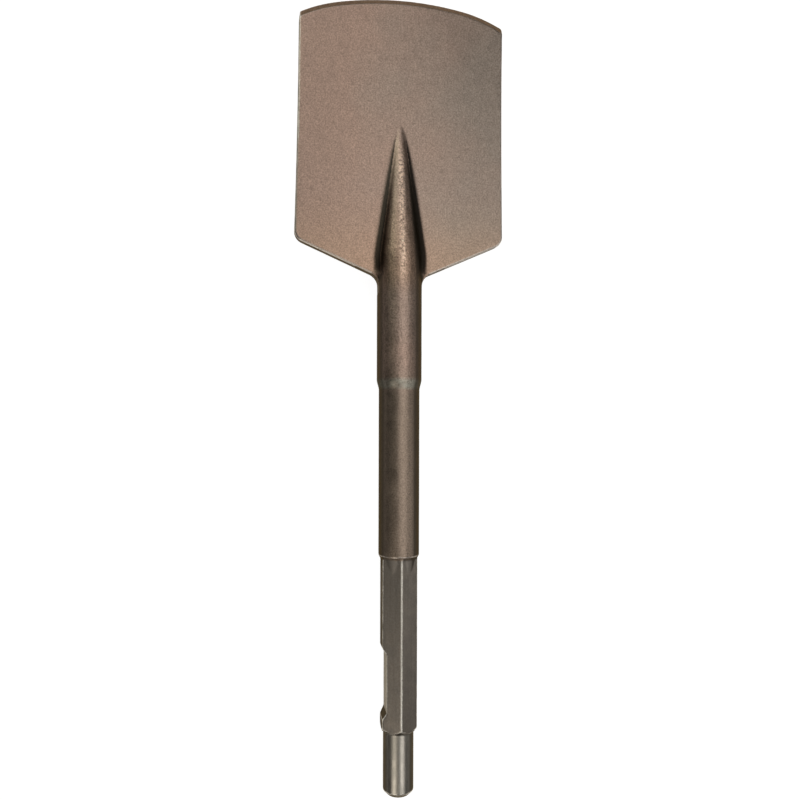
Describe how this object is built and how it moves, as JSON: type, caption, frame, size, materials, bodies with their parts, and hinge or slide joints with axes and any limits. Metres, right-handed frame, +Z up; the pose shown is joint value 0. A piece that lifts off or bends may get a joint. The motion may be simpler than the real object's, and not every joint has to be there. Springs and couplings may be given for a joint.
{
  "type": "clay spade chisel",
  "caption": "Forged steel clay spade for a breaker hammer: broad curved-edge blade with a tapering ridge, round body, hexagonal shank with a side retaining notch, round striking pin.",
  "frame": {"origin": "centre of the striking face, on the axis of the shank", "axes": "+X along the tool towards the cutting edge, +Z up, with the tool lying as it comes to rest and the side with the retaining notch raised towards +Y"},
  "size_m": [0.4318, 0.1136, 0.0246],
  "materials": {
    "forged_steel": "shot-blasted forging scale, brown-grey, with worn bright edges"
  },
  "bodies": {
    "root": {"spade_chisel": "forged_steel"}
  },
  "joints": []
}
